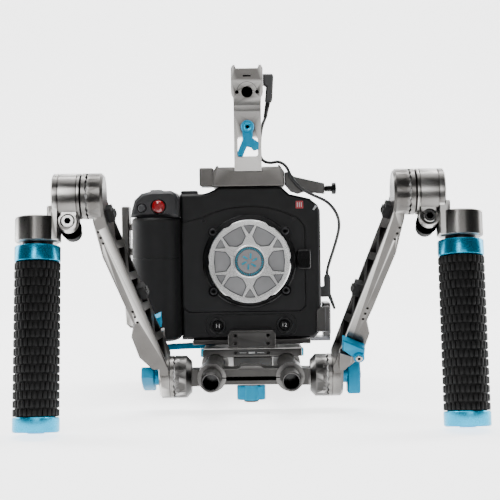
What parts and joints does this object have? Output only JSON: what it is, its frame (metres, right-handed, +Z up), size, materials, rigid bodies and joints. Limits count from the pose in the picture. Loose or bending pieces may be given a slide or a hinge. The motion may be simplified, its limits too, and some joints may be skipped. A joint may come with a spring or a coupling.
{
  "type": "cinema camera rig",
  "caption": "Compact cinema camera on a twin-rod base plate with a top handle, toothed rosette arms and two rubber hand grips.",
  "frame": {"origin": "middle of the rod base's flat underside, where a tripod plate bolts on", "axes": "+Z up, -Y along the lens axis towards the subject, +X to the right of someone facing the lens"},
  "size_m": [0.329, 0.346, 0.2776],
  "materials": {
    "titanium_grey": "satin anodised",
    "dark_grey_metal": "satin anodised",
    "camera_black": "fine textured",
    "camera_grey": "fine textured",
    "gloss_black": "semi gloss",
    "cap_silver": "bead blasted, bright rim",
    "record_red": "gloss",
    "cable_black": "smooth jacket",
    "blue_anodised": "bright anodised",
    "steel": "machined",
    "rubber": "moulded scale pattern"
  },
  "bodies": {
    "rig": {"camera_body": "camera_black", "front_panel": "camera_black", "image_sensor": "gloss_black", "lens_mount_ring": "gloss_black", "hand_grip": "camera_black", "grip_control_plate": "camera_grey", "battery_pack": "camera_black", "cage_side_plate": "titanium_grey", "top_plate": "titanium_grey", "handle_post": "titanium_grey", "top_grip": "titanium_grey", "cable_arm": "dark_grey_metal", "side_clamp": "dark_grey_metal", "trigger_cable": "cable_black", "cable_plug_top": "cable_black", "cable_plug_side": "cable_black", "camera_plate": "titanium_grey", "dovetail_plate": "titanium_grey", "rod_base": "titanium_grey", "rod_left": "titanium_grey", "rod_right": "titanium_grey", "front_bracket": "titanium_grey"},
    "record_button": {"record_button": "record_red"},
    "photo_button": {"photo_button": "camera_grey"},
    "front_button_left": {"front_button_left": "gloss_black"},
    "front_button_right": {"front_button_right": "gloss_black"},
    "lens_release": {"lens_release": "gloss_black"},
    "lens_cap": {"lens_cap": "cap_silver"},
    "monitor": {"monitor_panel": "camera_black"},
    "cable_screw": {"cable_screw": "gloss_black"},
    "bracket_knob": {"bracket_knob": "blue_anodised"},
    "base_lever": {"base_lever": "blue_anodised"},
    "post_lever": {"post_lever": "blue_anodised"},
    "arm_left": {"arm_left": "titanium_grey", "arm_rosette_left": "steel", "cam_block_left": "titanium_grey"},
    "handle_left": {"clamp_barrel_left": "titanium_grey", "clamp_rosette_left": "steel", "clamp_screw_left": "steel", "grip_collar_left": "blue_anodised", "grip_rubber_left": "rubber", "grip_end_left": "blue_anodised"},
    "cam_lever_left": {"cam_lever_left": "blue_anodised"},
    "ratchet_left": {"ratchet_lever_left": "blue_anodised"},
    "clamp_knob_left": {"clamp_knob_left": "rubber"},
    "arm_right": {"arm_right": "titanium_grey", "arm_rosette_right": "steel", "cam_block_right": "titanium_grey"},
    "handle_right": {"clamp_barrel_right": "titanium_grey", "clamp_rosette_right": "steel", "clamp_screw_right": "steel", "grip_collar_right": "blue_anodised", "grip_rubber_right": "rubber", "grip_end_right": "blue_anodised"},
    "cam_lever_right": {"cam_lever_right": "blue_anodised"},
    "ratchet_right": {"ratchet_lever_right": "blue_anodised"},
    "clamp_knob_right": {"clamp_knob_right": "rubber"}
  },
  "joints": [
    {"name": "record_press", "type": "slide", "parent": "rig", "child": "record_button", "axis": [0, 1, 0], "range_m": [0, 0.0015], "stiffness_N_per_m": 400, "springref_m": -0.0005},
    {"name": "photo_press", "type": "slide", "parent": "rig", "child": "photo_button", "axis": [0, 1, 0], "range_m": [0, 0.001], "stiffness_N_per_m": 400, "springref_m": -0.0005},
    {"name": "front_left_press", "type": "slide", "parent": "rig", "child": "front_button_left", "axis": [0, 1, 0], "range_m": [0, 0.0012], "stiffness_N_per_m": 400, "springref_m": -0.0005},
    {"name": "front_right_press", "type": "slide", "parent": "rig", "child": "front_button_right", "axis": [0, 1, 0], "range_m": [0, 0.0012], "stiffness_N_per_m": 400, "springref_m": -0.0005},
    {"name": "lens_release_press", "type": "slide", "parent": "rig", "child": "lens_release", "axis": [0, 1, 0], "range_m": [0, 0.001], "stiffness_N_per_m": 400, "springref_m": -0.0005},
    {"name": "cap_turn", "type": "hinge", "parent": "rig", "child": "lens_cap", "pos_m": [0, -0.041, 0.0977], "axis": [0, -1, 0], "range_deg": [0, 60]},
    {"name": "monitor_swing", "type": "hinge", "parent": "rig", "child": "monitor", "pos_m": [0.0605, 0.008, 0.109], "axis": [0, 0, -1], "range_deg": [0, 90]},
    {"name": "cable_screw_turn", "type": "hinge", "parent": "rig", "child": "cable_screw", "pos_m": [0.068, -0.0305, 0.1582], "axis": [1, 0, 0], "continuous": true},
    {"name": "bracket_knob_turn", "type": "hinge", "parent": "rig", "child": "bracket_knob", "pos_m": [0, -0.127, 0], "axis": [0, 0, 1], "continuous": true},
    {"name": "base_lever_swing", "type": "hinge", "parent": "rig", "child": "base_lever", "pos_m": [-0.036, 0.004, 0.0225], "axis": [0, 0, -1], "range_deg": [0, 70]},
    {"name": "post_lever_swing", "type": "hinge", "parent": "rig", "child": "post_lever", "pos_m": [0, -0.042, 0.2104], "axis": [0, -1, 0], "range_deg": [-90, 90]},
    {"name": "arm_left_swing", "type": "hinge", "parent": "rig", "child": "arm_left", "pos_m": [-0.0585, -0.127, 0.0118], "axis": [1, 0, 0], "range_deg": [-45, 45]},
    {"name": "handle_left_swing", "type": "hinge", "parent": "arm_left", "child": "handle_left", "pos_m": [-0.1128, -0.204, 0.1502], "axis": [1, 0, 0], "range_deg": [-60, 60]},
    {"name": "cam_lever_left_swing", "type": "hinge", "parent": "arm_left", "child": "cam_lever_left", "pos_m": [-0.0805, -0.14217, 0.03906], "axis": [0, -0.8739, -0.4862], "range_deg": [0, 90]},
    {"name": "ratchet_left_turn", "type": "hinge", "parent": "rig", "child": "ratchet_left", "pos_m": [-0.078, -0.127, 0.0118], "axis": [1, 0, 0], "continuous": true},
    {"name": "clamp_knob_left_turn", "type": "hinge", "parent": "handle_left", "child": "clamp_knob_left", "pos_m": [-0.126, -0.20743, 0.12968], "axis": [0, 0.9483, -0.3173], "continuous": true},
    {"name": "arm_right_swing", "type": "hinge", "parent": "rig", "child": "arm_right", "pos_m": [0.0585, -0.127, 0.0118], "axis": [1, 0, 0], "range_deg": [-45, 45]},
    {"name": "handle_right_swing", "type": "hinge", "parent": "arm_right", "child": "handle_right", "pos_m": [0.1128, -0.204, 0.1502], "axis": [1, 0, 0], "range_deg": [-60, 60]},
    {"name": "cam_lever_right_swing", "type": "hinge", "parent": "arm_right", "child": "cam_lever_right", "pos_m": [0.0805, -0.14217, 0.03906], "axis": [0, 0.8739, 0.4862], "range_deg": [0, 90]},
    {"name": "ratchet_right_turn", "type": "hinge", "parent": "rig", "child": "ratchet_right", "pos_m": [0.078, -0.127, 0.0118], "axis": [1, 0, 0], "continuous": true},
    {"name": "clamp_knob_right_turn", "type": "hinge", "parent": "handle_right", "child": "clamp_knob_right", "pos_m": [0.126, -0.20743, 0.12968], "axis": [0, 0.9483, -0.3173], "continuous": true}
  ]
}
